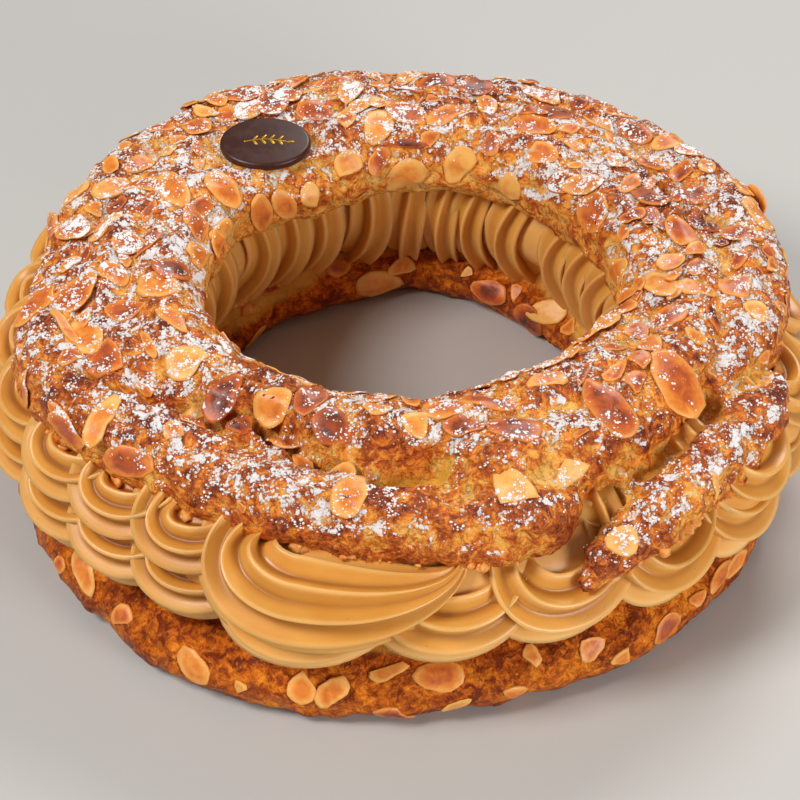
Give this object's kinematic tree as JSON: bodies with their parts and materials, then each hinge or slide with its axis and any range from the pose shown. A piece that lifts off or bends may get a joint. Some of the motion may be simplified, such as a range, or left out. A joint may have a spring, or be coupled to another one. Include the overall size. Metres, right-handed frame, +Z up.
{
  "type": "paris brest pastry",
  "caption": "Ring of baked choux pastry, split and filled with piped praline cream, with flaked almonds, icing sugar and a small chocolate disc.",
  "frame": {"origin": "on the table at the middle of the ring", "axes": "+Z up through the hole; -Y is the front, where the cut end of the lid's outer strand and its hanging flap are; +X to the right seen from the front"},
  "size_m": [0.241, 0.2372, 0.0743],
  "materials": {
    "base_crust": "matt browned choux crust",
    "praline_cream": "smooth satin praline buttercream",
    "lid_crust": "browned choux crust dusted with icing sugar",
    "dark_chocolate": "satin dark chocolate",
    "flaked_almond": "toasted flaked almond",
    "icing_sugar": "fine white powder"
  },
  "bodies": {
    "root": {"choux_base": "base_crust", "praline_cream": "praline_cream", "choux_lid": "lid_crust", "chocolate_plaque": "dark_chocolate"}
  },
  "joints": []
}
